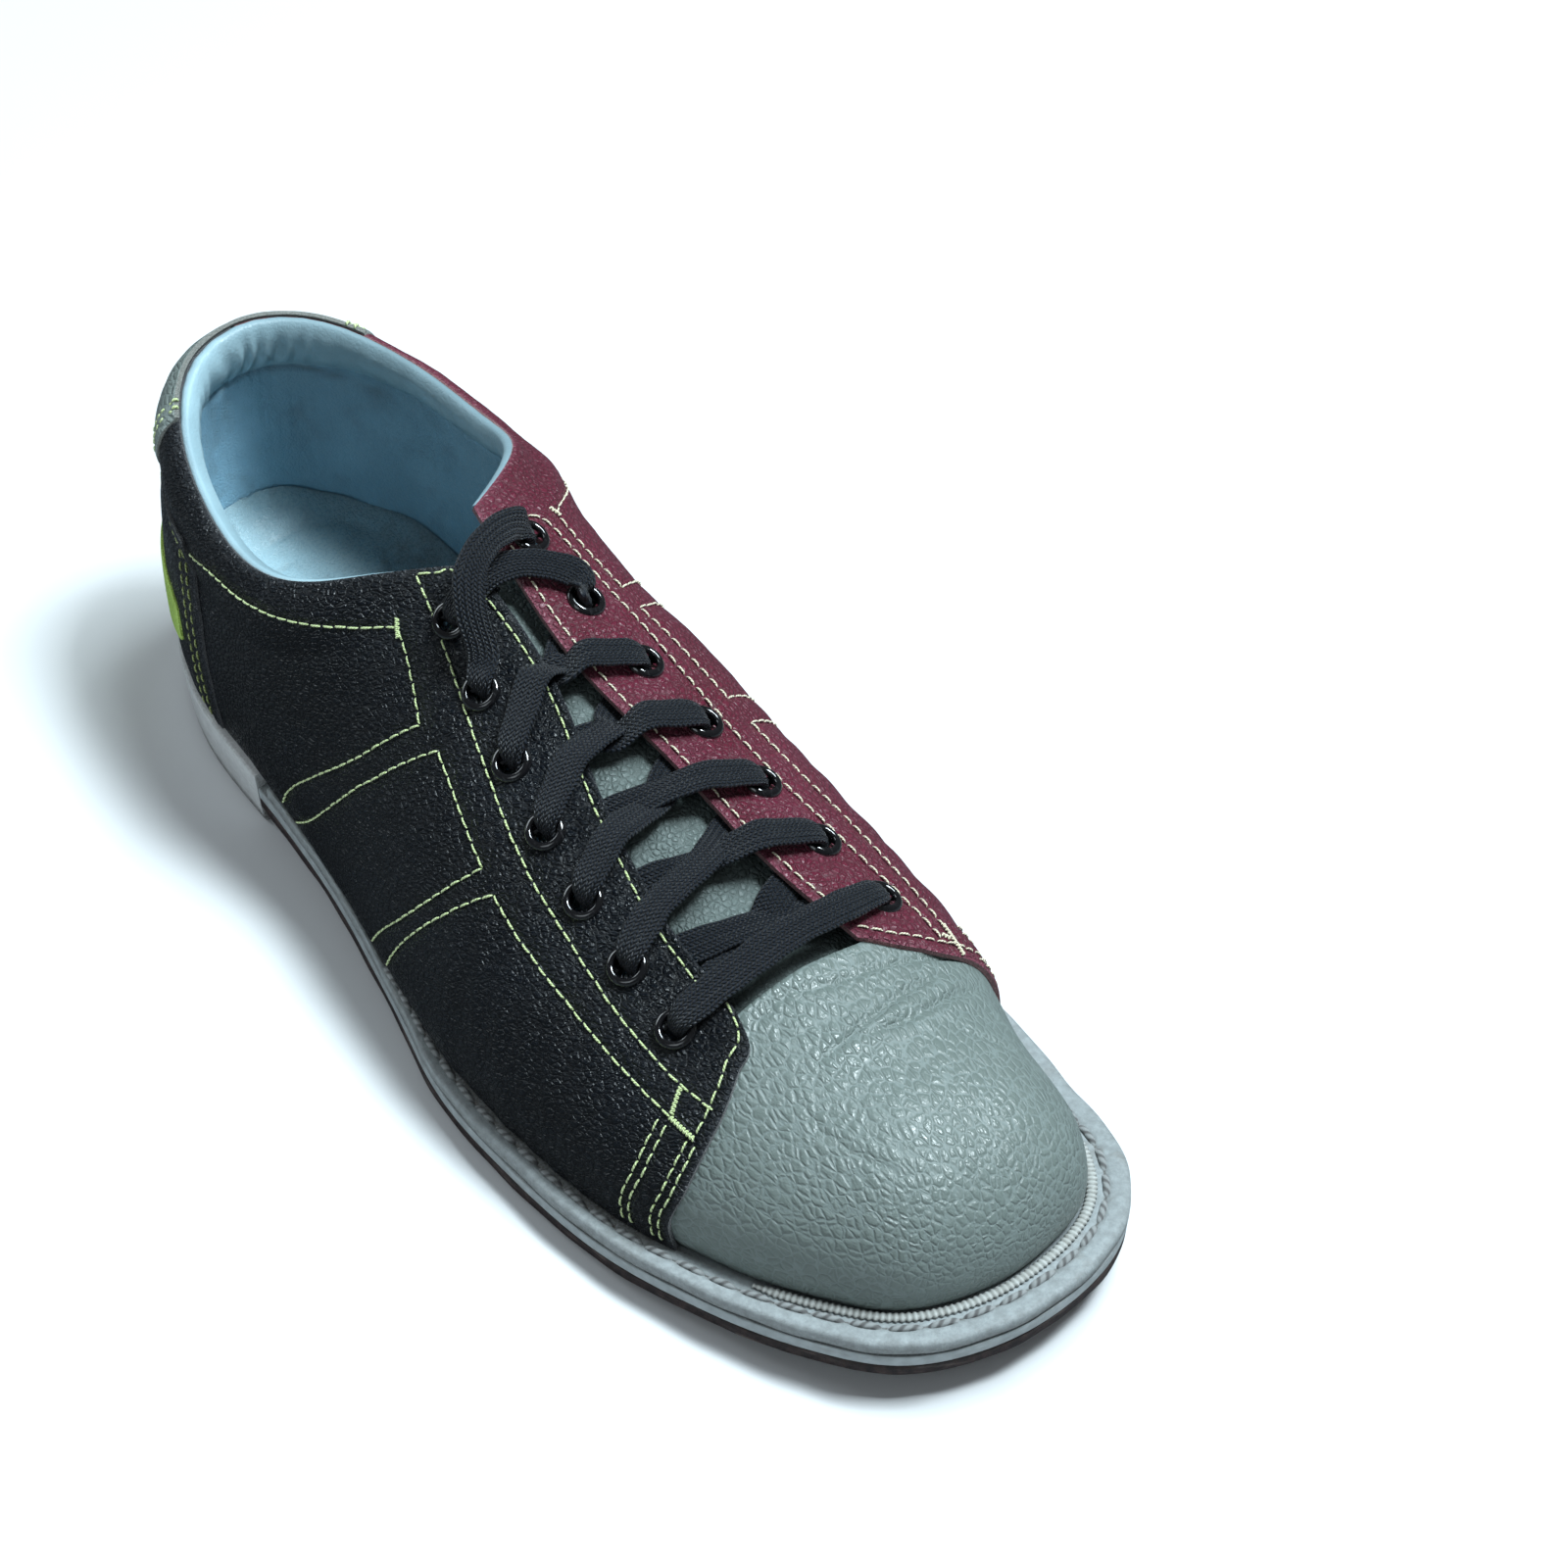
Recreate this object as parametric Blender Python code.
"""Bowling shoe, right foot, size EU 43: a welted leather lace-up with a separate heel block.

World frame in metres. The toe points to -Y and the heel to +Y, the outer (lateral) side is -X and
the inner (medial) side is +X. The shoe stands on z = 0, with the origin under its mid-length.

The design is worked in millimetres as (x, station, z), where the station runs forward from the back
of the heel; to_world() turns this into the world frame. Everything above the sole is a layer of one
closed last surface, last_point(lap, climb): lap runs once round the feather line (0 at the heel's
back, 0.5 at the toe, the lateral side first), and climb goes from the feather line (0) to the ridge
of the instep (1).
"""

from collections import namedtuple
from math import cos, pi, radians, sin

import bpy
import numpy as np

# ------------------------------------------------------------------ driving dimensions, mm
MID_STATION = 150.3             # station of the world origin
X_SHIFT = 2.5                   # world x of the design's x = 0

# Values given for both sides are pairs, indexed by side.
LATERAL, MEDIAL = 0, 1
SIDE_NAMES = ("lateral", "medial")
AWAY = (-1, 1)                  # sign of x going away from the ridge

# last: values at these stations along the foot
FEATHER_HEEL, FEATHER_TOE = 4.0, 292.5
LAST_STATIONS = [4, 14, 45, 90, 120, 150, 180, 205, 230, 255, 275, 287, 292.5]
LAST = {
    # x of the feather line
    "x": ([0, -21.5, -36, -41, -44, -48.5, -52, -51.5, -48.5, -40.5, -30, -19.5, 1.5],
          [0, 21.5, 35.5, 35.5, 36, 37.5, 41, 44, 45, 39.5, 35, 24.5, 1.5]),
    # how far the wall bulges
    "bulge": ([4, 4, 4.5, 5, 6, 6.5, 5, 4, 3.5, 3, 2.5, 2.5, 2.5],
              [4, 4, 4, 6, 9.5, 11.5, 9.5, 7, 4.5, 2, 1.5, 2.5, 2.5]),
    # how tall the bulge is
    "rise": ([31, 30.5, 29.5, 29, 34, 31.5, 28, 25.5, 21.5, 18.5, 17, 16, 16],
             [31, 31, 31, 32, 38, 36.5, 32, 28, 24.5, 20, 16.5, 16, 16]),
    # width of the shoulder, as a share of the way from the ridge to the feather line
    "shoulder": ([0.98, 0.96, 0.95, 0.92, 0.40, 0.49, 0.58, 0.52, 0.50, 0.60, 0.69, 0.72, 0.72],
                 [0.98, 0.98, 1.00, 1.17, 0.99, 1.08, 1.00, 0.90, 0.78, 0.67, 0.68, 0.72, 0.72]),
    # how far the shoulder lies below the ridge
    "drop": ([1, 1, 1, 2, 4, 2, 1.2, 1.6, 1.6, 1.1, 1, 1, 1],
             [1, 1, 1, 2, 2.3, 3.2, 3.4, 2.4, 1.1, 1, 1, 1, 1]),
}
RIDGE_STATIONS = [40, 60, 90, 120, 150, 180, 205, 230, 258]
RIDGE_X = [0, 0, -1, -3, -2.5, -2, -1.5, -0.5, 2]
RIDGE_Z = [118, 111, 100, 88, 75.5, 65, 57.5, 51.5, 46]

# height of the sole's top
SEAT_STATIONS = [0, 50, 75, 100, 120, 150, 180, 200, 230, 260, 300]
SEAT_Z = [15.3, 15.3, 15.1, 13.9, 12.4, 10.5, 9.6, 9.6, 10.3, 12.2, 16.6]

# sole edge, measured out from the feather line
EDGE_STATIONS = [4, 70, 100, 120, 150, 180, 205, 230, 255, 275, 292.5]
EDGE_REACH = ([2.5, 1.5, 0.5, 0.5, 1.5, 4.0, 4.5, 5.0, 5.5, 6.5, 7.5],
              [2.5, 1.5, -1.0, -1.5, 0.5, 4.0, 5.0, 6.5, 8.0, 8.0, 7.5])

# sole stack, measured down from the seat
WELT_THICK, MIDSOLE_THICK, OUTSOLE_THICK, GAP = 2.7, 2.7, 3.0, 0.3
MIDSOLE_LOW = -WELT_THICK - 2 * GAP - MIDSOLE_THICK
OUTSOLE_LOW = MIDSOLE_LOW - GAP - OUTSOLE_THICK
HEEL_FRONT, RIM_WIDTH = 78.0, 3.2

# collar height along the topline, and the throat corners as (station, x)
RIM_STATIONS = [4, 20, 35, 50, 65, 80, 95, 108, 122]
RIM_Z = ([85.5, 81, 76.5, 73, 71, 71.5, 75, 80, 85],
         [85.5, 83.5, 81, 79.5, 79, 80, 82.5, 85, 87])
THROAT = ((121.0, -7.0), (111.0, 2.0))

# x of the facing edges
FACING_STATIONS = [111, 121, 150, 180, 205, 228]
FACING_X = ([-6, -6.5, -10, -15.5, -18.5, -19.5], [2, 1.5, 4.5, 10, 13.5, 16])
FACING_FRONT = FACING_STATIONS[-1]

# eyelets from the throat to the toe: first station, last station, x of each
EYELET_ROWS = ((127, 223, [-15, -18.5, -22, -24.8, -26.8, -27.5, -27.5]),
               (121, 221, [9, 11.5, 14.5, 17.5, 20, 22.5, 25]))
EYELET_LAST = 6
EYELET_HOLE, EYELET_BARREL, EYELET_FLANGE = 2.6, 2.95, 4.5      # radii

# wings: front edge of each quarter, from the feather line up to the facing, as (station, z)
WING = ([(244.0, 22.0), (242.0, 34.0), (238.5, 44.0)],
        [(242.0, 22.0), (238.0, 35.0), (234.0, 46.0)])
WING_FOOT = 245.5
BACK_SEAM_LAP = 0.0016          # lap at which quarters and their linings start

# layers of the upper: offsets of the outer and inner face from the last surface, and material
LAYERS = {
    "quarter_lateral": (0.0, -1.4, "black_leather"),
    "quarter_medial": (0.0, -1.4, "burgundy_leather"),
    "vamp": (-2.0, -3.1, "sage_leather"),
    "toe_puff": (-3.9, -4.9, "board"),
    "vamp_lining": (-5.4, -6.2, "blue_grey_lining"),
    "heel_counter": (-1.9, -3.3, "board"),
    "quarter_lining_lateral": (-3.8, -4.6, "blue_grey_lining"),
    "quarter_lining_medial": (-3.8, -4.6, "blue_grey_lining"),
    "backstay": (1.5, 0.4, "black_leather"),
    "heel_tab": (1.4, 0.4, "sage_leather"),
    "heel_patch": (2.2, 1.8, "lime"),
    "eyestay_backing_lateral": (-1.8, -2.6, "board"),
    "eyestay_backing_medial": (-1.8, -2.6, "board"),
    "tongue": (-5.8, -6.8, "sage_leather"),
    "tongue_foam": (-7.1, -9.4, "foam"),
    "tongue_lining": (-9.7, -10.4, "blue_grey_lining"),
}

# base colour, roughness, metallic
LOOKS = {
    "black_leather": ((0.012, 0.014, 0.020), 0.42, 0.0),
    "burgundy_leather": ((0.16, 0.016, 0.028), 0.42, 0.0),
    "sage_leather": ((0.19, 0.20, 0.17), 0.45, 0.0),
    "blue_grey_lining": ((0.33, 0.42, 0.45), 0.60, 0.0),
    "foam": ((0.55, 0.53, 0.45), 0.9, 0.0),
    "board": ((0.36, 0.30, 0.22), 0.85, 0.0),
    "cork": ((0.42, 0.28, 0.16), 0.95, 0.0),
    "white_welt": ((0.74, 0.73, 0.69), 0.6, 0.0),
    "sole_leather": ((0.10, 0.045, 0.03), 0.6, 0.0),
    "heel_rubber": ((0.62, 0.63, 0.62), 0.55, 0.0),
    "lime": ((0.42, 0.66, 0.08), 0.6, 0.0),
    "black_lace": ((0.010, 0.011, 0.015), 0.8, 0.0),
    "black_eyelet": ((0.01, 0.01, 0.012), 0.12, 0.0),
    "steel": ((0.45, 0.45, 0.46), 0.35, 1.0),
}


# ------------------------------------------------------------------ curves
def unit(vectors):
    return vectors / np.linalg.norm(vectors, axis=-1, keepdims=True)


def hermite(knots, values, period=None):
    """A smooth curve through the points; periodic when a period is given."""
    knots, values = np.asarray(knots, float), np.asarray(values, float)
    if period:
        knots = np.r_[knots[-2:] - period, knots, knots[:2] + period]
        values = np.r_[values[-2:], values, values[:2]]
    step = np.diff(knots)
    slope = np.diff(values) / step
    tangent = np.empty_like(values)
    tangent[1:-1] = (slope[:-1] * step[1:] + slope[1:] * step[:-1]) / (step[:-1] + step[1:])
    tangent[0], tangent[-1] = slope[0], slope[-1]

    def curve(x):
        x = np.asarray(x, float)
        if period:
            x = np.mod(x, period)
        i = np.clip(np.searchsorted(knots, x) - 1, 0, len(step) - 1)
        f = np.clip((x - knots[i]) / step[i], 0, 1)
        return ((1 + 2 * f) * (1 - f) ** 2 * values[i] + f * (1 - f) ** 2 * step[i] * tangent[i]
                + f * f * (3 - 2 * f) * values[i + 1]
                + f * f * (f - 1) * step[i] * tangent[i + 1])
    return curve


def bisect(low, high, is_below):
    """The value between low and high at which is_below turns false."""
    for _ in range(40):
        middle = (low + high) / 2
        if is_below(middle):
            low = middle
        else:
            high = middle
    return (low + high) / 2


def soft_clip(value, low, high, softness=10.0):
    value = low + softness * np.logaddexp(0, (value - low) / softness)
    return high - softness * np.logaddexp(0, (high - value) / softness)


def station_angle(station):
    share = (np.asarray(station, float) - FEATHER_HEEL) / (FEATHER_TOE - FEATHER_HEEL)
    return np.arccos(np.clip(1 - 2 * share, -1, 1))


def station_lap(station):
    """Lap, on the lateral side, of the point of the feather line at a station."""
    return station_angle(station) / (2 * pi)


def lap_on(side, lateral_lap):
    """The lap given for the lateral side, mirrored when the side is medial."""
    return lateral_lap if side == LATERAL else 1 - lateral_lap


def round_curve(pair, stations):
    """A closed curve over the lap, through the values of both sides at the stations."""
    lateral, medial = pair
    angles = station_angle(stations)
    curve = hermite(np.r_[angles, (2 * pi - angles[1:-1])[::-1]],
                    lateral + medial[1:-1][::-1], 2 * pi)
    return lambda lap: curve(2 * pi * np.asarray(lap, float))


last_curve = {key: round_curve(pair, LAST_STATIONS) for key, pair in LAST.items()}
edge_reach = round_curve(EDGE_REACH, EDGE_STATIONS)
ridge_x, ridge_z = hermite(RIDGE_STATIONS, RIDGE_X), hermite(RIDGE_STATIONS, RIDGE_Z)
seat = hermite(SEAT_STATIONS, SEAT_Z)
rim_z = [hermite(RIM_STATIONS, heights) for heights in RIM_Z]
facing_x = [hermite(FACING_STATIONS, values) for values in FACING_X]
FLAT_STATIONS = np.arange(0, 301, 10.0)
FLAT_SEAT_Z = seat(FLAT_STATIONS)


def seat_flat(station):
    """The seat height as straight runs of 10 mm, shared by the sole's cross-cut layers."""
    return float(np.interp(station, FLAT_STATIONS, FLAT_SEAT_Z))


# ------------------------------------------------------------------ the last surface
def outline(lap):
    """(x, station) on the feather line."""
    forward = (1 - np.cos(2 * pi * np.asarray(lap, float))) / 2
    station = FEATHER_HEEL + (FEATHER_TOE - FEATHER_HEEL) * forward
    return np.stack([last_curve["x"](lap), station], -1)


def plan_normal(lap):
    """Outward unit normal of the feather line in plan."""
    along_line = outline(lap + 1e-4) - outline(lap - 1e-4)
    return unit(np.stack([-along_line[..., 1], along_line[..., 0]], -1))


def last_point(lap, climb):
    """A cubic from the feather line over bulge and shoulder to the ridge."""
    lap, climb = np.broadcast_arrays(np.asarray(lap, float), np.asarray(climb, float))
    foot = outline(lap)
    station = soft_clip(foot[..., 1], RIDGE_STATIONS[0], RIDGE_STATIONS[-1])
    ridge = np.stack([ridge_x(station), station, ridge_z(station)], -1)
    base = np.concatenate([foot, seat(foot[..., 1:2]) + GAP], -1)
    bulge = base + np.concatenate([plan_normal(lap) * last_curve["bulge"](lap)[..., None],
                                   last_curve["rise"](lap)[..., None]], -1)
    shoulder = ridge.copy()
    shoulder[..., :2] += last_curve["shoulder"](lap)[..., None] * (foot - ridge[..., :2])
    shoulder[..., 2] -= last_curve["drop"](lap)
    up = climb[..., None]
    down = 1 - up
    return (down ** 3 * base + 3 * down * down * up * bulge
            + 3 * down * up * up * shoulder + up ** 3 * ridge)


def last_normal(lap, climb):
    """Outward unit normal; on the ridge it is the mean of the two sides."""
    lap, climb = np.broadcast_arrays(np.asarray(lap, float), np.asarray(climb, float))
    step = 1e-3
    # close to the ridge the rings shrink to nothing at the toe
    held = np.minimum(climb, 0.985)

    def one_side(lap):
        cross = np.cross(last_point(lap, held + step) - last_point(lap, held - step),
                         last_point(lap + step, held) - last_point(lap - step, held))
        return cross / (np.linalg.norm(cross, axis=-1, keepdims=True) + 1e-12)
    normal = one_side(lap)
    mean = normal + one_side(1 - lap)
    mean /= np.linalg.norm(mean, axis=-1, keepdims=True) + 1e-12
    return np.where((climb > 0.999)[..., None], mean, normal)


SEARCH_LAPS = np.linspace(0.002, 0.498, 150)[:, None]
SEARCH_CLIMBS = np.linspace(0.0, 1.0, 121)[None, :]
SEARCH_POINTS = [last_point(lap_on(side, SEARCH_LAPS), SEARCH_CLIMBS) for side in (0, 1)]


def locate(side, station, target, axis, climb_from=0.0):
    """(lap, climb) on one side of the point at a station whose coordinate along axis is target."""
    grid = SEARCH_POINTS[side]
    distance = ((grid[..., 1] - station) ** 2 + (grid[..., axis] - target) ** 2
                + 1e6 * (SEARCH_CLIMBS < climb_from))
    i, j = np.unravel_index(np.argmin(distance), distance.shape)
    guess = np.array([SEARCH_LAPS[i, 0], SEARCH_CLIMBS[0, j]])

    def miss(guess):
        point = last_point(lap_on(side, guess[0]), guess[1])
        return np.array([point[1] - station, point[axis] - target])
    step = 1e-4
    for _ in range(12):
        now = miss(guess)
        jacobian = np.stack([(miss(guess + [step, 0]) - now) / step,
                             (miss(guess - [0, step]) - now) / -step], 1)
        guess = guess - 0.8 * np.linalg.lstsq(jacobian, now, rcond=None)[0]
        guess = np.array([np.clip(guess[0], 0.0, 0.5), np.clip(guess[1], climb_from, 0.995)])
    return lap_on(side, guess[0]), guess[1]


def locate_by_facing(side, station, away, climb_from):
    """(lap, climb) of the point at a distance in x from the facing's edge, away from the ridge."""
    x = float(facing_x[side](station)) + AWAY[side] * away
    return locate(side, station, x, 0, climb_from)


def topline_climb(lap):
    """Climb at which the surface reaches the collar's height."""
    rim = rim_z[LATERAL if lap % 1 <= 0.5 else MEDIAL]

    def is_below(climb):
        point = last_point(lap, climb)
        return point[2] < rim(point[1])
    return bisect(0.2, 0.98, is_below)


def ridge_lap(station):
    """Lap of the cross-section whose ridge point lies at a station."""
    return bisect(0.01, 0.49, lambda lap: last_point(lap, 1.0)[1] < station)


# ------------------------------------------------------------------ Blender objects
def paint(name, colour, roughness, metallic):
    material = bpy.data.materials.new(name)
    material.use_nodes = True
    shader = material.node_tree.nodes["Principled BSDF"]
    shader.inputs["Base Color"].default_value = (*colour, 1)
    shader.inputs["Roughness"].default_value = roughness
    shader.inputs["Metallic"].default_value = metallic
    material.diffuse_color = (*colour, 1)
    return material


def to_world(points):
    """World points in metres from (x, station, z) in mm."""
    p = np.asarray(points, float)
    return np.stack([p[:, 0] + X_SHIFT, MID_STATION - p[:, 1], p[:, 2]], 1) / 1000


def outward(points, faces):
    """The faces of a closed body of world points, all turned over if they point inward."""
    volume = sum(np.dot(points[f[0]], np.cross(points[f[k]], points[f[k + 1]]))
                 for f in faces for k in range(1, len(f) - 1))
    return [tuple(reversed(f)) for f in faces] if volume < 0 else faces


def make(name, body, look=None, origin=(0, 0, 0)):
    """An object from (points, faces) in mm, its origin at a world point; no look, no shading."""
    points, faces = body
    points = to_world(points) - np.asarray(origin)
    faces = outward(points, faces)
    mesh = bpy.data.meshes.new(name)
    mesh.from_pydata([tuple(p) for p in points], [], [tuple(int(i) for i in f) for f in faces])
    mesh.validate()
    obj = bpy.data.objects.new(name, mesh)
    bpy.context.scene.collection.objects.link(obj)
    obj.location = origin
    if look:
        colour, roughness, metallic = LOOKS[look]
        mesh.materials.append(paint(name + "_" + look, colour, roughness, metallic))
        mesh.shade_smooth()
        mesh.set_sharp_from_angle(angle=radians(40))
    return obj


def cut(target, bodies, name):
    """Boolean difference of the target with a group of separate convex bodies."""
    all_points, all_faces = [], []
    for points, faces in bodies:
        # each body is turned outward on its own
        for face in outward(to_world(points), faces):
            all_faces.append(tuple(i + len(all_points) for i in face))
        all_points += [tuple(p) for p in points]
    cutter = make(name, (all_points, all_faces))
    cutter.hide_render = True
    cutter.display_type = "WIRE"
    modifier = target.modifiers.new(name, "BOOLEAN")
    modifier.operation = "DIFFERENCE"
    modifier.object = cutter
    modifier.solver = "EXACT"


# ------------------------------------------------------------------ bodies: (points, faces)
def slab(outer, inner):
    """Closed body between two equal grids of points."""
    rows, cols = outer.shape[:2]
    points = np.concatenate([outer.reshape(-1, 3), inner.reshape(-1, 3)])

    def a(i, j):
        return i * cols + j

    def b(i, j):
        return rows * cols + i * cols + j
    faces = []
    for i in range(rows - 1):
        for j in range(cols - 1):
            faces.append((a(i, j), a(i + 1, j), a(i + 1, j + 1), a(i, j + 1)))
            faces.append((b(i, j), b(i, j + 1), b(i + 1, j + 1), b(i + 1, j)))
    end = cols - 1
    for i in range(rows - 1):
        faces.append((a(i, 0), b(i, 0), b(i + 1, 0), a(i + 1, 0)))
        faces.append((a(i + 1, end), b(i + 1, end), b(i, end), a(i, end)))
    end = rows - 1
    for j in range(cols - 1):
        faces.append((a(0, j + 1), b(0, j + 1), b(0, j), a(0, j)))
        faces.append((a(end, j), b(end, j), b(end, j + 1), a(end, j + 1)))
    return points, faces


def bar_faces(count):
    """Faces of a bar with, at each station, corners lateral and medial low, then both high."""
    faces = []
    for a in range(0, 4 * (count - 1), 4):
        b = a + 4
        faces += [(a, a + 1, b + 1, b), (a + 2, b + 2, b + 3, a + 3),
                  (a, b, b + 2, a + 2), (a + 1, a + 3, b + 3, b + 1)]
    last = 4 * (count - 1)
    return faces + [(0, 2, 3, 1), (last, last + 1, last + 3, last + 2)]


def strip(stations, lateral, medial, low, high):
    """A layer of the sole, with heights from the seat and x on each side as functions.

    It runs straight across at each station, so that neighbouring layers keep their gap.
    """
    points = []
    for s in stations:
        for height in (low, high):
            z = seat_flat(s) + height
            points += [(lateral(s), s, z), (medial(s), s, z)]
    return points, bar_faces(len(stations))


def cylinder(centre, axis, radius, length, sides):
    centre = np.asarray(centre)
    axis = unit(np.asarray(axis, float))
    across = unit(np.cross(axis, [0, 1, 0.13]))
    third = np.cross(axis, across)
    ring = [(cos(a) * across + sin(a) * third) * radius
            for a in np.linspace(0, 2 * pi, sides, endpoint=False)]
    points = [centre - axis * length / 2 + r for r in ring]
    points += [centre + axis * length / 2 + r for r in ring]
    faces = [tuple(range(sides)), tuple(range(sides, 2 * sides))[::-1]]
    faces += [(i, i + sides, (i + 1) % sides + sides, (i + 1) % sides) for i in range(sides)]
    return points, faces


def layer(lap, climb, offset):
    """Points of the last surface moved out along its normal."""
    return last_point(lap, climb) + np.asarray(offset)[..., None] * last_normal(lap, climb)


def shell(name, lap, climb):
    """A piece of the upper over a grid of (lap, climb), with its offsets from LAYERS."""
    outer, inner, look = LAYERS[name]
    return make(name, slab(layer(lap, climb, outer), layer(lap, climb, inner)), look)


def along(points, count):
    """count + 1 points spread evenly along a polyline in (lap, climb)."""
    points = np.asarray(points, float)
    # a lap is about three times as long as a climb
    lengths = np.linalg.norm(np.diff(points, axis=0) * [3, 1], axis=1)
    run = np.r_[0, np.cumsum(lengths)]
    even = np.linspace(0, run[-1], count + 1)
    return np.stack([np.interp(even, run, points[:, 0]), np.interp(even, run, points[:, 1])], -1)


def coons(bottom, top, back, front):
    """Grid of (lap, climb) inside four border curves, given as arrays of points."""
    u = np.linspace(0, 1, len(bottom))[:, None, None]
    w = np.linspace(0, 1, len(back))[None, :, None]
    grid = ((1 - w) * bottom[:, None] + w * top[:, None] + (1 - u) * back[None] + u * front[None]
            - (1 - u) * (1 - w) * bottom[0] - u * (1 - w) * bottom[-1]
            - (1 - u) * w * top[0] - u * w * top[-1])
    return grid[..., 0], grid[..., 1]


# ------------------------------------------------------------------ sole
OffsetOutline = namedtuple("OffsetOutline", "lateral medial back front")
OUTLINE_LAPS = np.linspace(0, 1, 1441)
END_STEPS = (0.12, 0.7, 2.2, 5)         # stations close to a rounded end, measured from it
END_CLEAR = 6.5                         # no regular station nearer to a rounded end


def offset_outline(reach):
    """The feather line moved out: x on each side as functions of station, and its end stations."""
    reach = np.broadcast_to(reach, OUTLINE_LAPS.shape)
    points = outline(OUTLINE_LAPS) + plan_normal(OUTLINE_LAPS) * reach[:, None]
    toe = len(points) // 2

    def side_x(half):
        half = half[np.argsort(half[:, 1], kind="stable")]
        return lambda station: float(np.interp(station, half[:, 1], half[:, 0]))
    return OffsetOutline(side_x(points[:toe + 1]), side_x(points[toe:][::-1]),
                         points[:, 1].min(), points[:, 1].max())


def back_stations(back, limit):
    """Stations from a rounded back end, then every 10 mm up to the limit."""
    return ([back + step for step in END_STEPS]
            + [s for s in np.arange(10, 300, 10.0) if back + END_CLEAR < s < limit])


def full_stations(line, extra=()):
    """Stations of an outline that is rounded at both ends."""
    front = [line.front - step for step in END_STEPS]
    return sorted(back_stations(line.back, line.front - END_CLEAR) + front + list(extra))


edge_samples = edge_reach(OUTLINE_LAPS)
edge = offset_outline(edge_samples)


def build_outsole_and_midsole():
    """Both lie inside the heel block's rim at the back, and reach full width in front of it."""
    inner_edge = offset_outline(edge_samples - RIM_WIDTH - GAP)

    def stepped(side):
        return lambda s: (inner_edge if s < HEEL_FRONT + 0.9 else edge)[side](s)
    whole = edge._replace(back=inner_edge.back)
    stations = full_stations(whole, (HEEL_FRONT + 0.6, HEEL_FRONT + 1.2))
    return [make(name, strip(stations, stepped(LATERAL), stepped(MEDIAL), low, low + thick), look)
            for name, low, thick, look in (
                ("outsole", OUTSOLE_LOW, OUTSOLE_THICK, "sole_leather"),
                ("midsole", MIDSOLE_LOW, MIDSOLE_THICK, "white_welt"))]


HEEL_TAPER = 1.2                # how far the heel block's back draws in at the ground
HEEL_HALF_WIDTH = 36            # the sides draw in by HEEL_TAPER at this half width
POCKET_OVERRUN = 8.0            # the pocket cutter runs this far out of the block's front
POCKET_TALL = 30


def build_heel_block():
    stations = back_stations(edge.back, HEEL_FRONT) + [HEEL_FRONT]
    points = []
    for s in stations:
        for taper, z in ((HEEL_TAPER, 0.0), (0.0, seat_flat(s) - GAP)):
            scale = 1 - taper / HEEL_HALF_WIDTH
            moved = s + taper * (1 - s / HEEL_FRONT)
            points += [(edge.lateral(s) * scale, moved, z), (edge.medial(s) * scale, moved, z)]
    block = make("heel_block", (points, bar_faces(len(stations))), "heel_rubber")

    # the pocket takes the back of the outsole and midsole, and leaves a rim round them
    pocket = offset_outline(edge_samples - RIM_WIDTH)
    front = HEEL_FRONT + POCKET_OVERRUN
    floor = OUTSOLE_LOW - GAP
    body = strip(back_stations(pocket.back, front) + [front],
                 pocket.lateral, pocket.medial, floor, floor + POCKET_TALL)
    cut(block, [body], "heel_pocket_cutter")
    return block


NAIL_PLACES = [(-17, 24), (17, 24), (0, 16), (-18, 58), (18, 58)]      # (x, station)
NAIL_RADIUS, NAIL_LOW, NAIL_SUNK = 0.8, 2.0, 0.1
BORE_RADIUS, BORE_LOW, BORE_OVERRUN = 1.15, 1.6, 1
NAIL_SIDES = 8


def upright(x, station, low, high, radius):
    centre = (x, station, (low + high) / 2)
    return cylinder(centre, (0, 0, 1), radius, high - low, NAIL_SIDES)


def build_heel_nails(nailed):
    """Nails through midsole and outsole into the heel block, in bores cut from all three."""
    bores = []
    for number, (x, station) in enumerate(NAIL_PLACES, 1):
        top = seat_flat(station) + MIDSOLE_LOW + MIDSOLE_THICK
        bores.append(upright(x, station, BORE_LOW, top + BORE_OVERRUN, BORE_RADIUS))
        make("heel_nail_%d" % number,
             upright(x, station, NAIL_LOW, top - NAIL_SUNK, NAIL_RADIUS), "steel")
    for obj in nailed:
        cut(obj, bores, obj.name + "_nail_cutter")


WELT_BACK, WELT_TOE = 86, 250           # stations where it starts, and where the toe's arc starts
WELT_INNER_REACH = -6.0


def build_welt():
    """An open ring from waist to waist round the forepart."""
    start, arc = station_lap(WELT_BACK), station_lap(WELT_TOE)
    laps = np.r_[np.linspace(start, arc, 17)[:-1], np.linspace(arc, 1 - arc, 19),
                 np.linspace(1 - arc, 1 - start, 17)[1:]]

    def ring(reach, height):
        plan = outline(laps) + plan_normal(laps) * np.broadcast_to(reach, laps.shape)[:, None]
        return np.concatenate([plan, (seat(plan[:, 1]) + height)[:, None]], -1)
    top, low = [np.stack([ring(edge_reach(laps), height), ring(WELT_INNER_REACH, height)], 1)
                for height in (-GAP, -GAP - WELT_THICK)]
    make("welt", slab(top, low), "white_welt")


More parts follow.
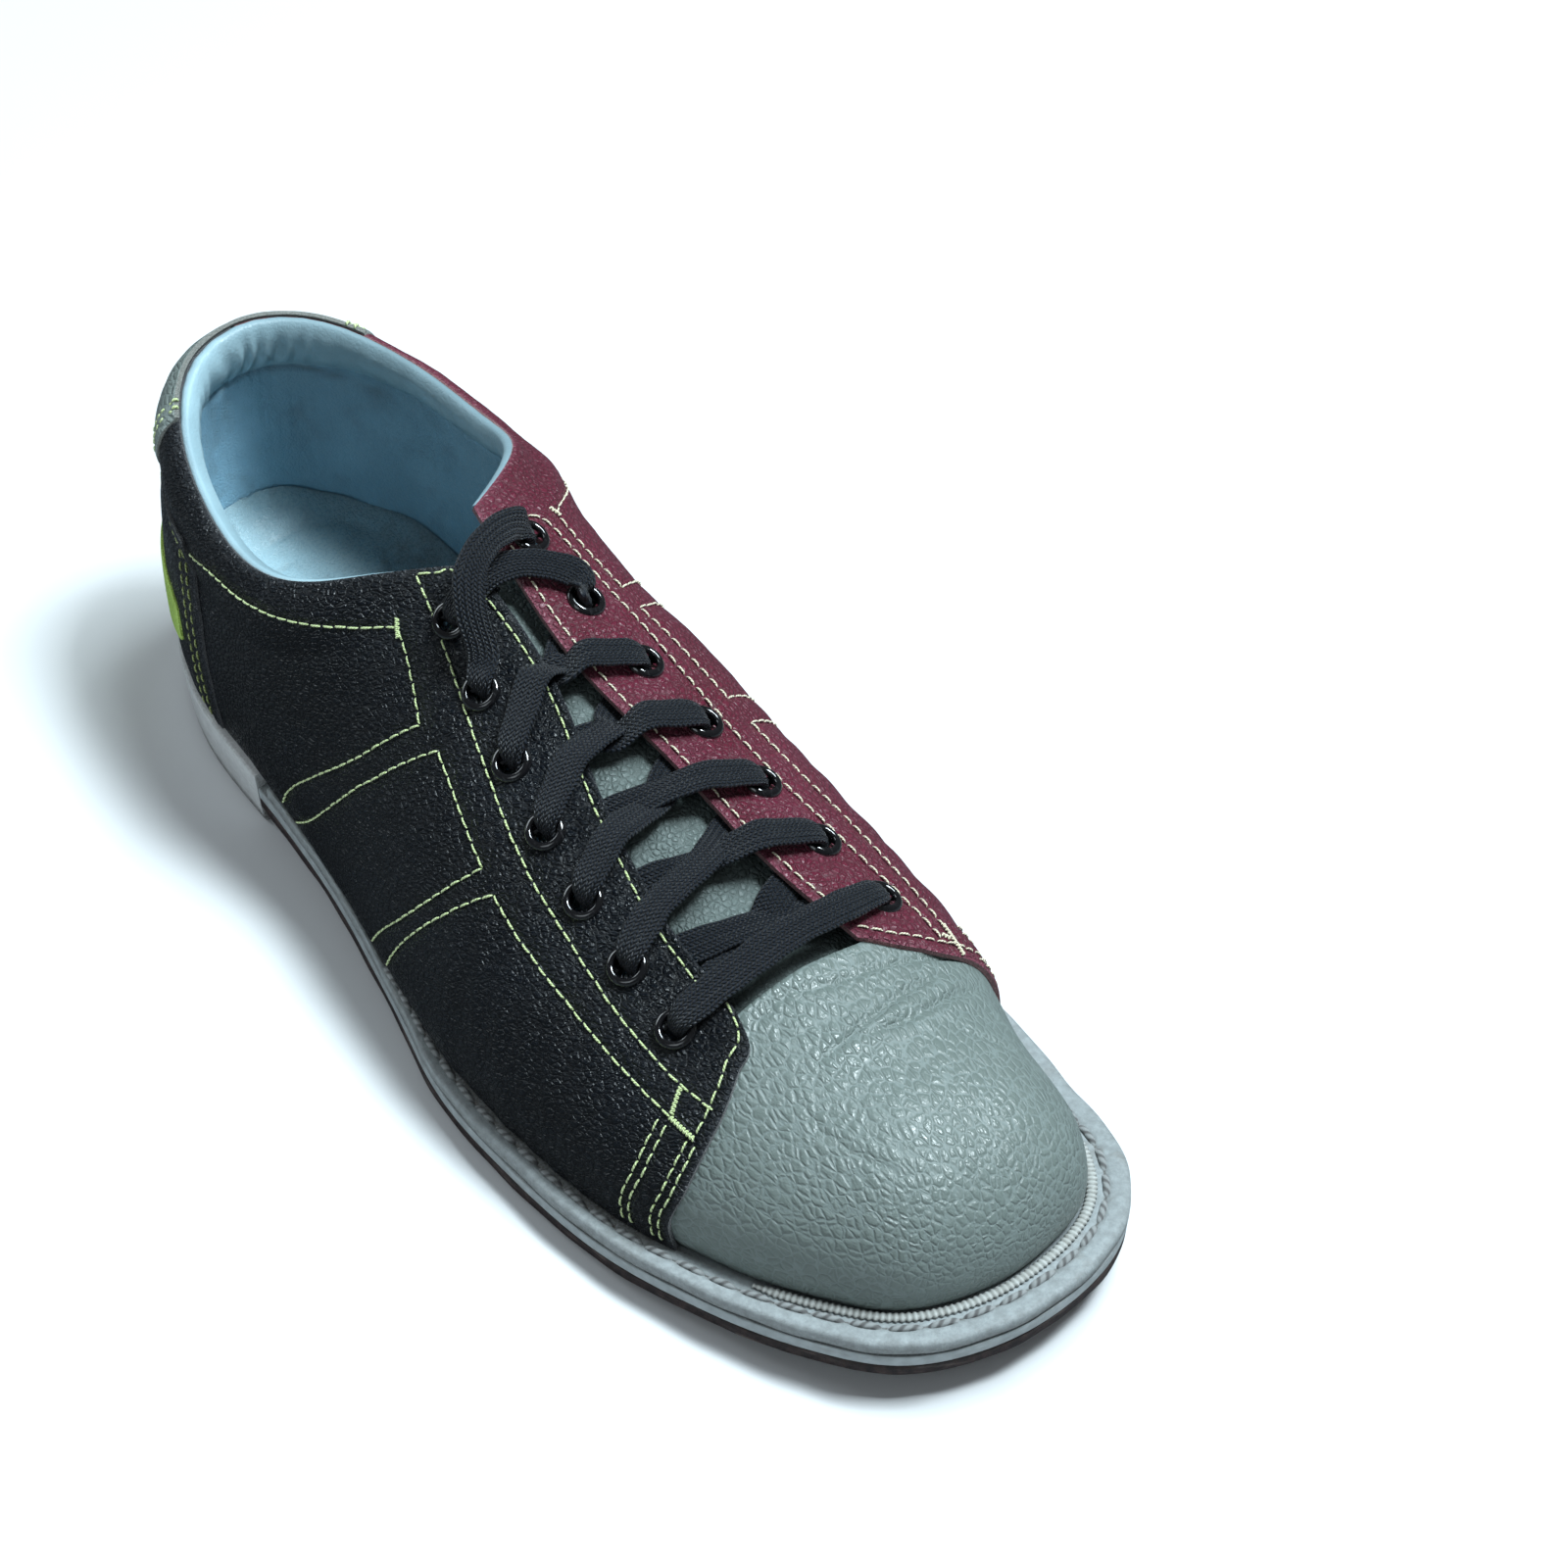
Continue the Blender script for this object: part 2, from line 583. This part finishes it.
CORK_REACH, INSOLE_REACH, SOCK_REACH = -6.6, -8.0, -9.0        # from the feather line
INSOLE_HEIGHTS, SOCK_HEIGHTS = (0.1, 2.5), (2.8, 4.0)          # from the seat
SOCK_FRONT = 96.0
SHANK_HALF_WIDTH, SHANK_BACK, SHANK_FRONT = 6.5, 70.0, 165.0
SHANK_LOW, SHANK_HIGH = -WELT_THICK - 0.25, -WELT_THICK + 0.95
SLOT_SIDE_GAP, SLOT_END_GAP = 0.4, 0.6
SLOT_LOW, SLOT_HIGH = -WELT_THICK - 3, -WELT_THICK + 1.3


def build_cork_and_shank():
    """Cork filler with the steel shank let into a slot in its underside."""
    line = offset_outline(CORK_REACH)
    cork = make("cork_filler", strip(full_stations(line), line.lateral, line.medial,
                                     -WELT_THICK - GAP, -GAP), "cork")

    def shank_bar(side_gap, end_gap, low, high):
        half = SHANK_HALF_WIDTH + side_gap
        stations = [SHANK_BACK - end_gap, *np.arange(80, 161, 10.0), SHANK_FRONT + end_gap]
        return strip(stations, lambda s: -half, lambda s: half, low, high)
    make("shank", shank_bar(0.0, 0.0, SHANK_LOW, SHANK_HIGH), "steel")
    slot = shank_bar(SLOT_SIDE_GAP, SLOT_END_GAP, SLOT_LOW, SLOT_HIGH)
    cut(cork, [slot], "shank_slot_cutter")


def build_insole_and_sock():
    line = offset_outline(INSOLE_REACH)
    make("insole", strip(full_stations(line), line.lateral, line.medial, *INSOLE_HEIGHTS), "board")
    line = offset_outline(SOCK_REACH)
    stations = back_stations(line.back, SOCK_FRONT) + [SOCK_FRONT]
    make("heel_sock", strip(stations, line.lateral, line.medial, *SOCK_HEIGHTS),
         "blue_grey_lining")


# ------------------------------------------------------------------ upper: outer panels and toe
def build_quarter(side, collar_cells=12, facing_cells=13, height_cells=7):
    """A quarter: collar and facing along the top, feather line below, wing in front."""
    throat_station, throat_x = THROAT[side]
    throat_lap, throat_climb = locate(side, throat_station, throat_x, 0, 0.5)
    start = lap_on(side, BACK_SEAM_LAP)
    ramp = np.linspace(0, 1, 41)
    laps = start + (throat_lap - start) * ramp
    collar = np.array([(lap, topline_climb(lap)) for lap in laps])
    # ease the last part of the topline onto the throat corner
    ease = np.clip((ramp - 0.72) / 0.28, 0, 1) ** 2
    collar[:, 1] += (throat_climb - collar[-1, 1]) * ease
    facing = [locate_by_facing(side, s, 0, 0.5)
              for s in np.linspace(throat_station, FACING_FRONT, 14)]
    top = np.concatenate([along(collar, collar_cells), along(facing, facing_cells)[1:]])

    foot = lap_on(side, station_lap(WING_FOOT))
    wing = [(foot, 0.0)] + [locate(side, s, z, 2) for s, z in WING[side]] + [facing[-1]]
    below_throat = lap_on(side, station_lap(throat_station + 3))
    bottom = np.concatenate([
        np.linspace((start, 0), (below_throat, 0), collar_cells + 1),
        np.linspace((below_throat, 0), (foot, 0), facing_cells + 1)[1:]])
    back = np.linspace((start, 0.0), tuple(collar[0]), height_cells + 1)
    return shell("quarter_" + SIDE_NAMES[side],
                 *coons(bottom, top, back, along(wing, height_cells)))


def build_toe_piece(name, back_station, half_cells, height_cells, climb_from=0.0):
    """A layer right round the toe, from LAYERS; its two sides are joined along the ridge."""
    outer, inner, look = LAYERS[name]
    half = np.linspace(station_lap(back_station), 0.5, half_cells + 1)
    laps = np.r_[half, 1 - half[::-1][1:]][:, None]
    climbs = (climb_from + (1 - climb_from) * np.linspace(0, 1, height_cells + 1))[None, :]
    grids = layer(laps, climbs, outer), layer(laps, climbs, inner)
    rows, cols = grids[0].shape[:2]
    points, index = [], {}

    def put(k, i, j):
        if j == cols - 1:
            i = min(i, rows - 1 - i)
        if (k, i, j) not in index:
            index[k, i, j] = len(points)
            points.append(grids[k][i, j])
        return index[k, i, j]
    faces = []
    for i in range(rows - 1):
        for j in range(cols - 1):
            for k in (0, 1):
                face = (put(k, i, j), put(k, i + 1, j), put(k, i + 1, j + 1), put(k, i, j + 1))
                faces.append(face if k == 0 else face[::-1])
        faces.append((put(0, i, 0), put(1, i, 0), put(1, i + 1, 0), put(0, i + 1, 0)))
    end = rows - 1
    for j in range(cols - 1):
        faces.append((put(0, 0, j + 1), put(1, 0, j + 1), put(1, 0, j), put(0, 0, j)))
        faces.append((put(0, end, j), put(1, end, j), put(1, end, j + 1), put(0, end, j + 1)))
    make(name, (points, faces), look)


# ------------------------------------------------------------------ upper: linings and stiffeners
COUNTER_FRONT, COUNTER_CLIMBS = 72, (0.02, 0.36)
LINING_FRONT = 222
PAD_DEPTH = 0.115       # how far below the topline the collar pad starts, in climb


def build_heel_counter():
    reach = station_lap(COUNTER_FRONT)
    shell("heel_counter", np.linspace(-reach, reach, 17)[:, None],
          np.linspace(*COUNTER_CLIMBS, 5)[None, :])


def lining_top(lap):
    """Climb of a quarter lining's top: under the collar pad at the back, by table in front."""
    station = float(outline(lap)[1])
    if station >= 100:
        return float(np.interp(station, [100, 125, 160, 222], [0.47, 0.52, 0.50, 0.42]))
    return min(topline_climb(lap) - PAD_DEPTH - 0.01, 0.47 if station > 80 else 1)


def build_quarter_lining(side):
    laps = np.linspace(lap_on(side, BACK_SEAM_LAP), lap_on(side, station_lap(LINING_FRONT)), 17)
    tops = np.array([lining_top(lap) for lap in laps])
    shell("quarter_lining_" + SIDE_NAMES[side], laps[:, None],
          tops[:, None] * np.linspace(0.025, 1, 6)[None, :])


# ------------------------------------------------------------------ collar
COLLAR_LATERAL_END, COLLAR_MEDIAL_END = 102, 98         # stations
# section of the foam pad: climb from the topline, outer offset, inner offset
PAD_SECTION = np.array([(-PAD_DEPTH, -2.7, -3.3), (-0.085, -2.6, -5.3), (-0.05, -2.5, -6.3),
                        (-0.02, -2.5, -5.9), (-0.006, -2.6, -4.7)])
# section of the lining rolled over it: climb from the topline, offset
ROLL_SECTION = np.array([(-PAD_DEPTH, -3.6), (-0.085, -5.9), (-0.05, -6.9),
                         (-0.012, -6.3), (0.010, -4.2), (0.014, -1.9)])
ROLL_THICK = 0.8


def build_collar():
    """Foam pad and the soft lining rolled over it, from throat to throat round the heel."""
    laps = np.linspace(-station_lap(COLLAR_MEDIAL_END), station_lap(COLLAR_LATERAL_END), 29)
    topline = np.array([topline_climb(lap % 1) for lap in laps])
    # both pieces thin out towards their ends
    fade = np.clip(np.minimum(laps - laps[0], laps[-1] - laps) / 0.035, 0, 1)[:, None] ** 0.5
    around = laps[:, None]

    below, outer, inner = PAD_SECTION.T
    climbs = topline[:, None] + below
    thinned = outer + (inner - outer) * (0.45 + 0.55 * fade)
    make("collar_pad", slab(layer(around, climbs, outer), layer(around, climbs, thinned)), "foam")

    below, offset = ROLL_SECTION.T
    lip = offset[-1]
    thinned = lip + (offset - lip) * (0.66 + 0.34 * fade)
    face = layer(around, topline[:, None] + below, thinned)
    # the wall's thickness runs along the section's own normal, towards the foot
    inward = unit(np.cross(np.gradient(face, axis=0), np.gradient(face, axis=1)))
    middle = len(laps) // 2
    if inward[middle, 2] @ last_normal(laps[middle], topline[middle]) > 0:
        inward = -inward
    make("collar_lining", slab(face, face + ROLL_THICK * inward), "blue_grey_lining")


# ------------------------------------------------------------------ outside of the heel
STAY_CLIMBS = np.array([0.02, 0.10, 0.19, 0.28, 0.35, 0.405])
# the backstay's half width in lap, by climb
STAY_EDGE = ([0.02, 0.15, 0.30, 0.39, 0.42], [0.147, 0.146, 0.143, 0.136, 0.130])
TAB_LAP, TAB_LOW, TAB_OVER = 0.09, 0.418, 0.002         # half width, foot, rise over the topline
PATCH_LAP, PATCH_CLIMB, PATCH_HALF_CLIMB = 0.098, 0.185, 0.07


def build_backstay():
    half = np.interp(STAY_CLIMBS, *STAY_EDGE)
    shell("backstay", np.linspace(-1, 1, 17)[:, None] * half, STAY_CLIMBS[None, :])


def build_heel_tab():
    laps = np.linspace(-TAB_LAP, TAB_LAP, 19)
    tops = np.array([topline_climb(lap % 1) for lap in laps])[:, None] + TAB_OVER
    shell("heel_tab", laps[:, None], TAB_LOW + (tops - TAB_LOW) * np.linspace(0, 1, 4))


def build_heel_patch():
    """The plain patch, with rounded ends."""
    across = np.linspace(-1, 1, 15)[:, None]
    half = PATCH_HALF_CLIMB * (1 - 0.93 * across ** 4) ** 0.25
    shell("heel_patch", PATCH_LAP * across, PATCH_CLIMB + np.linspace(-1, 1, 7) * half)


# ------------------------------------------------------------------ eyelets and their backings
Eyelet = namedtuple("Eyelet", "point normal")
BACKING_STATIONS = np.linspace(123, 227, 14)
BACKING_NEAR, BACKING_FAR = 1.6, 16.5           # distances in x from the facing's edge
EYELET_SIDES = 10
HOLE_GAP, HOLE_CUT_LENGTH = 0.35, 12
# turned section of an eyelet: (radius, height above the leather)
EYELET_SECTION = [
    (EYELET_HOLE, 0.95), (EYELET_FLANGE - 0.7, 1.0), (EYELET_FLANGE, 0.35), (EYELET_BARREL, 0.3),
    (EYELET_BARREL, -3.05), (EYELET_FLANGE - 0.6, -3.1), (EYELET_FLANGE - 0.9, -3.5),
    (EYELET_HOLE, -3.45)]


def place_eyelets():
    """Eyelets by (side, row), row 0 at the throat."""
    eyelets = {}
    for side, (first, last, row_x) in enumerate(EYELET_ROWS):
        for row, x in enumerate(row_x):
            station = first + (last - first) * row / EYELET_LAST
            place = locate(side, station, x, 0, 0.45)
            eyelets[side, row] = Eyelet(last_point(*place), last_normal(*place))
    return eyelets


def build_backing(side, quarter):
    """The strip behind one row of eyelets, and the holes through it and the quarter."""
    word = SIDE_NAMES[side]
    near = along([locate_by_facing(side, s, BACKING_NEAR, 0.5) for s in BACKING_STATIONS], 13)
    far = along([locate_by_facing(side, s, BACKING_FAR, 0.4) for s in BACKING_STATIONS], 13)
    share = np.linspace(0, 1, 3)[None, :, None]
    grid = far[:, None] * (1 - share) + near[:, None] * share
    backing = shell("eyestay_backing_" + word, grid[..., 0], grid[..., 1])
    holes = [cylinder(eyelet.point - eyelet.normal, eyelet.normal, EYELET_BARREL + HOLE_GAP,
                      HOLE_CUT_LENGTH, EYELET_SIDES)
             for (eyelet_side, _), eyelet in eyelets.items() if eyelet_side == side]
    cut(backing, holes, "backing_hole_cutter_" + word)
    cut(quarter, holes, "quarter_hole_cutter_" + word)


def build_eyelet(name, eyelet):
    across = unit(np.cross(eyelet.normal, [0, 1, 0.1]))
    third = np.cross(eyelet.normal, across)
    points = [eyelet.point + eyelet.normal * height + (across * cos(a) + third * sin(a)) * radius
              for a in np.linspace(0, 2 * pi, EYELET_SIDES, endpoint=False)
              for radius, height in EYELET_SECTION]
    size = len(EYELET_SECTION)
    faces = []
    for i in range(EYELET_SIDES):
        for j in range(size):
            i2, j2 = (i + 1) % EYELET_SIDES, (j + 1) % size
            faces.append((i * size + j, i2 * size + j, i2 * size + j2, i * size + j2))
    make(name, (points, faces), "black_eyelet")


# ------------------------------------------------------------------ tongue, hinged at its base
HINGE_X, HINGE_STATION, HINGE_BELOW_RIDGE = 0.0, 227.5, 9.0     # the hinge runs across the foot
TONGUE_BACK, TONGUE_FRONT = 109.0, 226.0
TONGUE_HALF_WIDTH = ([109, 125, 160, 200, 226], [20, 23, 26, 27, 25])   # stations, mm
TONGUE_LIFT = np.array([0, 0, 1.1])     # added to the normals, to turn them upward


def build_tongue_layer(name, narrower, trim):
    """A layer of the tongue, narrower on each side and trimmed at each end by so much."""
    outer, inner, look = LAYERS[name]
    rows = []
    for s in np.linspace(TONGUE_BACK + trim, TONGUE_FRONT - trim, 12):
        half = float(np.interp(s, *TONGUE_HALF_WIDTH)) - narrower
        row = []
        for share in np.linspace(-1, 1, 9):
            if abs(share) < 1e-9:
                row.append((ridge_lap(s), 1.0))
            else:
                side = LATERAL if share < 0 else MEDIAL
                row.append(locate(side, s, float(ridge_x(s)) + share * half, 0, 0.3))
        rows.append(row)
    grid = np.array(rows)
    points = last_point(grid[..., 0], grid[..., 1])
    normals = unit(last_normal(grid[..., 0], grid[..., 1]) + TONGUE_LIFT)
    hinge = (HINGE_X, HINGE_STATION, float(ridge_z(HINGE_STATION)) - HINGE_BELOW_RIDGE)
    make(name, slab(points + outer * normals, points + inner * normals), look,
         origin=tuple(to_world([hinge])[0]))


# ------------------------------------------------------------------ lace
# One ribbon. It lies as a bar over the two eyelets nearest the toe, then each half comes up
# through an eyelet, over its facing, and under the other facing to the next eyelet up.
LACE_WIDTH, LACE_THICK = 3.4, 1.2
LACE_TOP, LACE_UNDER, LACE_BEND = 2.1, -4.7, 2.2        # heights off the leather, bend radius
LACE_STRAIGHT = 1.6             # straight run after each bend
LACE_APART = 1.05               # the halves cross this far below and above their mean height
BAR_LIFT = 0.8
UPWARD = np.array([0, 0, 1.0])


def through_eyelet(side, row, toward_top, toward_low):
    """Centre line and width directions from above the facing down through an eyelet to below it.

    The two points say where the lace heads above and below the facing.
    """
    point, normal = eyelets[side, row]

    def flat(vector):
        return vector - normal * (vector @ normal)
    inward = flat(last_point(*locate_by_facing(side, point[1], 0, 0.5)) - point)
    reach = np.linalg.norm(inward)
    inward = inward / reach
    over, under = unit(flat(toward_top - point)), unit(flat(toward_low - point))
    over_far = reach / max(over @ inward, 0.35) * 1.15
    under_far = reach / max(under @ inward, 0.35) * 1.08

    top, low = point + normal * LACE_TOP, point + normal * LACE_UNDER
    line = [top + over * over_far, top + over * (LACE_BEND + LACE_STRAIGHT)]
    for q in np.radians(np.linspace(90, 0, 4)):
        line.append(top + (over * (1 - cos(q)) - normal * (1 - sin(q))) * LACE_BEND)
    for q in np.radians(np.linspace(0, 90, 4)):
        line.append(low + (under * (1 - cos(q)) + normal * (1 - sin(q))) * LACE_BEND)
    line += [low + under * (LACE_BEND + LACE_STRAIGHT), low + under * under_far]
    first, last = np.cross(normal, over), np.cross(normal, under)
    twist = [first + (last - first) * share for share in np.linspace(0.15, 0.85, 6)]
    return line, [first] * 3 + twist + [last] * 3


def half_lace(side, lift):
    """Points and width directions from the bottom bar to the end tucked in at the top eyelet."""
    points, widths = [], []
    for row in range(EYELET_LAST, -1, -1):
        def opposite(other_row):
            return eyelets[1 - side, other_row].point
        # the lace dives into the first and the last eyelet, and rises through the others
        if row == EYELET_LAST:
            line, turned = through_eyelet(side, row, opposite(row), opposite(row - 1))
        elif row == 0:
            line, turned = through_eyelet(side, row, opposite(1), opposite(row))
        else:
            line, turned = through_eyelet(side, row, opposite(row - 1), opposite(row + 1))
            line, turned = line[::-1], turned[::-1]
        if points:
            # one point over the gap between the facings, at a height from the ridge
            start, end = points[-1], line[0]
            if row == EYELET_LAST - 1:
                height = -3.4 + lift * 0.55
            else:
                height = (-1.3 if row else 1.4) + lift
            points.append(last_point(ridge_lap((start[1] + end[1]) / 2), 1.0) + height * UPWARD)
            width = unit(np.cross(UPWARD, end - start))
            widths.append(width if width @ widths[-1] > 0 else -width)
            if turned[0] @ widths[-1] < 0:
                turned = [-width for width in turned]
        points += line
        widths += turned
        side = 1 - side
    return np.array(points), np.array(widths)


def ribbon(path, widths, half_width, half_thick):
    tangent = unit(np.gradient(path, axis=0))
    across = unit(widths - tangent * (widths * tangent).sum(1, keepdims=True))
    normal = np.cross(tangent, across)
    ring = [path + across * a * half_width + normal * b * half_thick
            for a, b in ((1, 1), (-1, 1), (-1, -1), (1, -1))]
    points = np.stack(ring, 1).reshape(-1, 3)
    last = 4 * (len(path) - 1)
    faces = [(0, 1, 2, 3), (last + 3, last + 2, last + 1, last)]
    for i in range(0, last, 4):
        for j in range(4):
            k = (j + 1) % 4
            faces.append((i + j, i + 4 + j, i + 4 + k, i + k))
    return points, faces


def build_lace():
    left, left_widths = half_lace(LATERAL, -LACE_APART)
    right, right_widths = half_lace(MEDIAL, LACE_APART)
    bar = (left[0] + right[0]) / 2 + BAR_LIFT * UPWARD
    if left_widths[0] @ right_widths[0] < 0:
        right_widths = -right_widths
    path = np.concatenate([left[::-1], [bar], right])
    widths = np.concatenate([left_widths[::-1], [(left_widths[0] + right_widths[0]) / 2],
                             right_widths])
    make("lace", ribbon(path, widths, LACE_WIDTH / 2, LACE_THICK / 2), "black_lace")


# ------------------------------------------------------------------ build
for old in list(bpy.data.objects):
    bpy.data.objects.remove(old, do_unlink=True)

outsole, midsole = build_outsole_and_midsole()
heel_block = build_heel_block()
build_heel_nails([outsole, midsole, heel_block])
build_welt()
build_cork_and_shank()
build_insole_and_sock()

quarters = [build_quarter(side) for side in (LATERAL, MEDIAL)]
build_toe_piece("vamp", 229.0, half_cells=11, height_cells=8)
build_toe_piece("toe_puff", 256.0, half_cells=8, height_cells=6, climb_from=0.02)
build_toe_piece("vamp_lining", 233.0, half_cells=10, height_cells=7, climb_from=0.03)
build_heel_counter()
for side in (LATERAL, MEDIAL):
    build_quarter_lining(side)
build_collar()
build_backstay()
build_heel_tab()
build_heel_patch()

eyelets = place_eyelets()
for side in (LATERAL, MEDIAL):
    build_backing(side, quarters[side])
for (side, row), eyelet in eyelets.items():
    build_eyelet("eyelet_%s_%d" % (SIDE_NAMES[side], row + 1), eyelet)

build_tongue_layer("tongue", narrower=0.0, trim=0.0)
build_tongue_layer("tongue_foam", narrower=3.0, trim=2.0)
build_tongue_layer("tongue_lining", narrower=0.5, trim=0.5)
build_lace()
